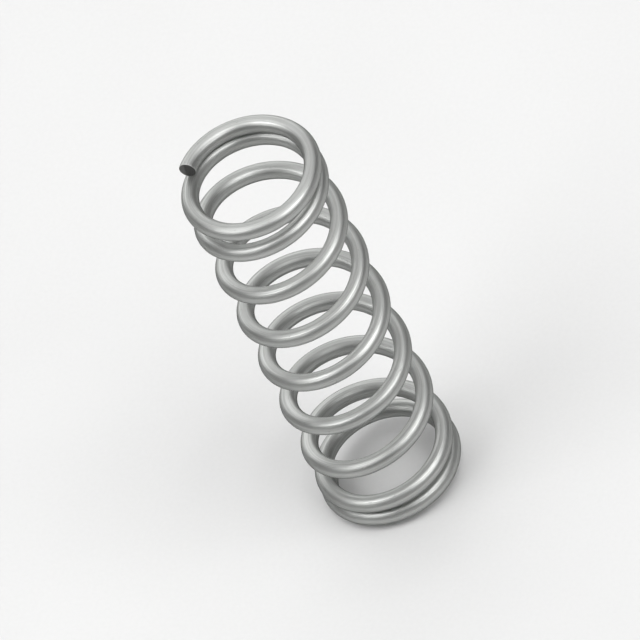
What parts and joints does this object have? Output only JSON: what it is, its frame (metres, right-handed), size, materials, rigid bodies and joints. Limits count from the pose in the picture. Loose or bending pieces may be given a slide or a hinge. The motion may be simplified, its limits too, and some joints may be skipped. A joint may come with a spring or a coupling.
{
  "type": "compression spring",
  "caption": "Helical compression spring of round steel wire, right-hand wound, with closed ends that are not ground.",
  "frame": {"origin": "on the spring's axis, in the plane that its lower end stands on", "axes": "+Z along the spring's axis, towards its upper end; +X towards both tips of the wire"},
  "size_m": [0.0166, 0.0166, 0.0545],
  "materials": {
    "spring_steel": "satin drawn wire"
  },
  "bodies": {
    "root": {"spring": "spring_steel"}
  },
  "joints": []
}
